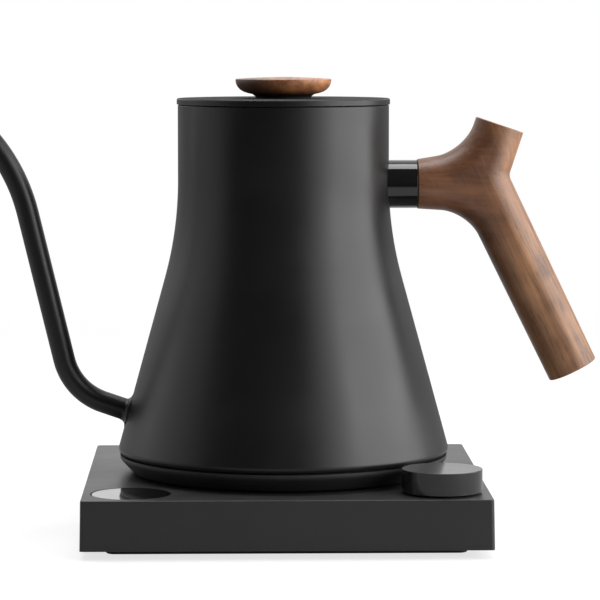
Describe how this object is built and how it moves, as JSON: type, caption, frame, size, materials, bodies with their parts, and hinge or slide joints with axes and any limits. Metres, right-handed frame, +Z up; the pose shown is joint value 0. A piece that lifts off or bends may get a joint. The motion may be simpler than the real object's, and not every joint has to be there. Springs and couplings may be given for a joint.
{
  "type": "electric kettle",
  "caption": "Gooseneck electric kettle with a flared black steel body, wooden fork handle and lid knob, on a square power base with a round display and a turning push knob.",
  "frame": {"origin": "on the kettle body's axis, at the surface that the base stands on", "axes": "+Z up along the kettle's axis, +X towards the handle, -X towards the spout, -Y towards the user's side with display and knob"},
  "size_m": [0.2941, 0.1724, 0.1984],
  "materials": {
    "painted_steel_black": "satin matte black coating on steel",
    "bare_steel": "brushed stainless steel",
    "zinc_steel": "zinc plated",
    "plain_aluminium": "plain, slightly rough",
    "component_aluminium": "satin",
    "knob_aluminium": "black anodised, bead blasted",
    "brass": "machined",
    "walnut": "oiled walnut, satin",
    "stem_gloss": "gloss black",
    "base_plastic": "fine texture",
    "cover_plastic": "smooth satin",
    "connector_plastic": "moulded",
    "component_plastic": "moulded",
    "circuit_board": "solder mask",
    "display_black": "polished",
    "silicone_black": "matte",
    "silicone_clear": "translucent grey"
  },
  "bodies": {
    "base": {"base_housing": "base_plastic", "base_bottom": "base_plastic", "foot_ring": "silicone_black", "base_screws": "zinc_steel", "base_connector": "connector_plastic", "connector_contacts": "brass", "connector_screws": "zinc_steel", "power_board": "circuit_board", "relay": "component_plastic", "transformer": "component_plastic", "capacitors": "component_aluminium", "triac_heatsink": "component_aluminium", "terminal_block": "component_plastic", "control_board": "circuit_board", "display_window": "display_black", "display_module": "component_plastic", "buzzer": "component_plastic", "encoder_housing": "zinc_steel", "click_dome": "zinc_steel", "cord_gland": "silicone_black", "hold_switch": "component_plastic"},
    "kettle_socket": {"connector_socket": "connector_plastic", "socket_contacts": "brass"},
    "kettle": {"kettle_body": "painted_steel_black", "boiler_plate": "bare_steel", "heat_plate": "plain_aluminium", "heating_element": "plain_aluminium", "element_terminals": "brass", "temperature_probe": "bare_steel", "thermal_cutouts": "component_plastic", "bottom_cover": "cover_plastic", "kettle_pads": "silicone_black", "cover_standoffs": "bare_steel", "bottom_cover_screws": "zinc_steel", "cover_seal": "silicone_clear", "spout": "painted_steel_black", "handle_saddle": "bare_steel", "handle_stem": "stem_gloss", "handle_insert": "brass", "handle": "walnut"},
    "lid_ring": {"lid_seal": "silicone_clear"},
    "lid": {"lid_disc": "painted_steel_black", "lid_pan": "bare_steel", "lid_knob_collar": "connector_plastic", "lid_knob": "walnut", "lid_knob_insert": "brass", "lid_screw": "zinc_steel"},
    "knob_rotor": {"encoder_rotor": "component_plastic"},
    "knob": {"encoder_shaft": "bare_steel", "control_knob": "knob_aluminium", "knob_grub_screw": "zinc_steel"},
    "hold_slider": {"hold_slider": "connector_plastic"}
  },
  "joints": [
    {"name": "kettle_lift", "type": "slide", "parent": "base", "child": "kettle_socket", "axis": [0, 0, 1], "range_m": [0, 0.08]},
    {"name": "kettle_swivel", "type": "hinge", "parent": "kettle_socket", "child": "kettle", "pos_m": [0, 0, 0.03], "axis": [0, 0, 1], "continuous": true},
    {"name": "lid_lift", "type": "slide", "parent": "kettle", "child": "lid_ring", "axis": [0, 0, 1], "range_m": [0, 0.05]},
    {"name": "lid_turn", "type": "hinge", "parent": "lid_ring", "child": "lid", "pos_m": [0, 0, 0.18], "axis": [0, 0, 1], "continuous": true},
    {"name": "knob_turn", "type": "hinge", "parent": "base", "child": "knob_rotor", "pos_m": [0.06545, -0.06545, 0.03], "axis": [0, 0, 1], "continuous": true},
    {"name": "knob_press", "type": "slide", "parent": "knob_rotor", "child": "knob", "axis": [0, 0, -1], "range_m": [0, 0.0006], "stiffness_N_per_m": 1500, "springref_m": -0.0008},
    {"name": "hold_slide", "type": "slide", "parent": "base", "child": "hold_slider", "axis": [1, 0, 0], "range_m": [0, 0.004]}
  ]
}
